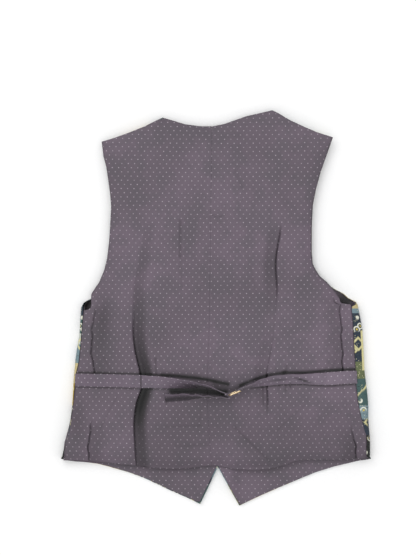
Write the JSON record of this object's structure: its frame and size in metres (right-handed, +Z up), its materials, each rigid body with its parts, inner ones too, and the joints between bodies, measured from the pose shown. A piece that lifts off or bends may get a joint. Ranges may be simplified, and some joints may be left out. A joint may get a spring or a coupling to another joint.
{
  "type": "waistcoat",
  "caption": "Lined dress waistcoat lying on its front: buttoned pointed fronts with welt pockets, seamed pin-dot back, cinch belt with a brass buckle.",
  "frame": {"origin": "centre of the bounding box, on the surface that the garment lies on", "axes": "+X towards the wearer's right, +Y from hem to neck, +Z up from the surface, out of the wearer's back"},
  "size_m": [0.526, 0.6739, 0.0414],
  "materials": {
    "lining_cloth": "satin, woven pin dots",
    "print_cloth": "printed patchwork",
    "inner_cloth": "smooth lining",
    "canvas": "woven canvas",
    "pocket_cloth": "plain weave",
    "thread": "thread",
    "button": "polished",
    "brass": "polished",
    "label": "woven, blank"
  },
  "bodies": {
    "back": {"back_panel_left": "lining_cloth", "back_panel_right": "lining_cloth", "back_lining_left": "inner_cloth", "back_lining_right": "inner_cloth", "neck_label": "label", "left_side_shell": "print_cloth", "right_side_shell": "print_cloth", "left_side_lining": "inner_cloth", "right_side_lining": "inner_cloth", "belt_strap_left": "lining_cloth", "belt_loop_left": "lining_cloth", "belt_strap_right": "lining_cloth", "belt_slotted_part": "lining_cloth", "belt_tack_left": "thread", "belt_tack_right": "thread"},
    "left_front": {"left_front_shell": "print_cloth", "left_front_canvas": "canvas", "left_front_facing": "inner_cloth", "left_front_lining": "lining_cloth", "left_buttonhole_band": "print_cloth", "left_welt": "print_cloth", "left_pocket_bag": "pocket_cloth"},
    "right_front": {"right_front_shell": "print_cloth", "right_front_canvas": "canvas", "right_front_facing": "inner_cloth", "right_front_lining": "lining_cloth", "right_welt": "print_cloth", "right_pocket_bag": "pocket_cloth", "button_thread_1": "thread", "button_thread_2": "thread", "button_thread_3": "thread", "button_thread_4": "thread", "button_thread_5": "thread"},
    "button_1": {"button_1": "button"},
    "button_2": {"button_2": "button"},
    "button_3": {"button_3": "button"},
    "button_4": {"button_4": "button"},
    "button_5": {"button_5": "button"},
    "belt_tail": {"belt_tail": "lining_cloth"},
    "buckle_frame": {"buckle_frame": "brass"},
    "buckle_tongue": {"buckle_tongue": "brass"}
  },
  "joints": [
    {"name": "left_front_fold", "type": "hinge", "parent": "back", "child": "left_front", "pos_m": [-0.19, -0.269, 0], "axis": [0.1581, 0.9874, 0], "range_deg": [0, 165], "deforming": ["left_buttonhole_band"]},
    {"name": "right_front_fold", "type": "hinge", "parent": "back", "child": "right_front", "pos_m": [0.19, -0.269, 0], "axis": [0.1581, -0.9874, 0], "range_deg": [0, 120]},
    {"name": "button_1_twist", "type": "hinge", "parent": "right_front", "child": "button_1", "pos_m": [0, 0.048, 0], "axis": [0, 0, 1], "range_deg": [-60, 60], "stiffness_Nm_per_rad": 0.001},
    {"name": "button_2_twist", "type": "hinge", "parent": "right_front", "child": "button_2", "pos_m": [0, -0.01947, 0], "axis": [0, 0, 1], "range_deg": [-60, 60], "stiffness_Nm_per_rad": 0.001},
    {"name": "button_3_twist", "type": "hinge", "parent": "right_front", "child": "button_3", "pos_m": [0, -0.08694, 0], "axis": [0, 0, 1], "range_deg": [-60, 60], "stiffness_Nm_per_rad": 0.001},
    {"name": "button_4_twist", "type": "hinge", "parent": "right_front", "child": "button_4", "pos_m": [0, -0.15441, 0], "axis": [0, 0, 1], "range_deg": [-60, 60], "stiffness_Nm_per_rad": 0.001},
    {"name": "button_5_twist", "type": "hinge", "parent": "right_front", "child": "button_5", "pos_m": [0, -0.22188, 0], "axis": [0, 0, 1], "range_deg": [-60, 60], "stiffness_Nm_per_rad": 0.001},
    {"name": "belt_tail_slide", "type": "slide", "parent": "back", "child": "belt_tail", "axis": [-0.9936, -0.1132, 0], "range_m": [0, 0.03]},
    {"name": "buckle_hinge", "type": "hinge", "parent": "back", "child": "buckle_frame", "pos_m": [0.024, -0.1455, 0.03], "axis": [0, 0, -1], "range_deg": [0, 30]},
    {"name": "tongue_hinge", "type": "hinge", "parent": "buckle_frame", "child": "buckle_tongue", "pos_m": [0.024, -0.1455, 0.03], "axis": [0, 0, -1], "range_deg": [0, 60]}
  ],
  "couplings": [
    {"joint": "right_front_fold", "follows": "left_front_fold", "ratio": 0.72}
  ]
}
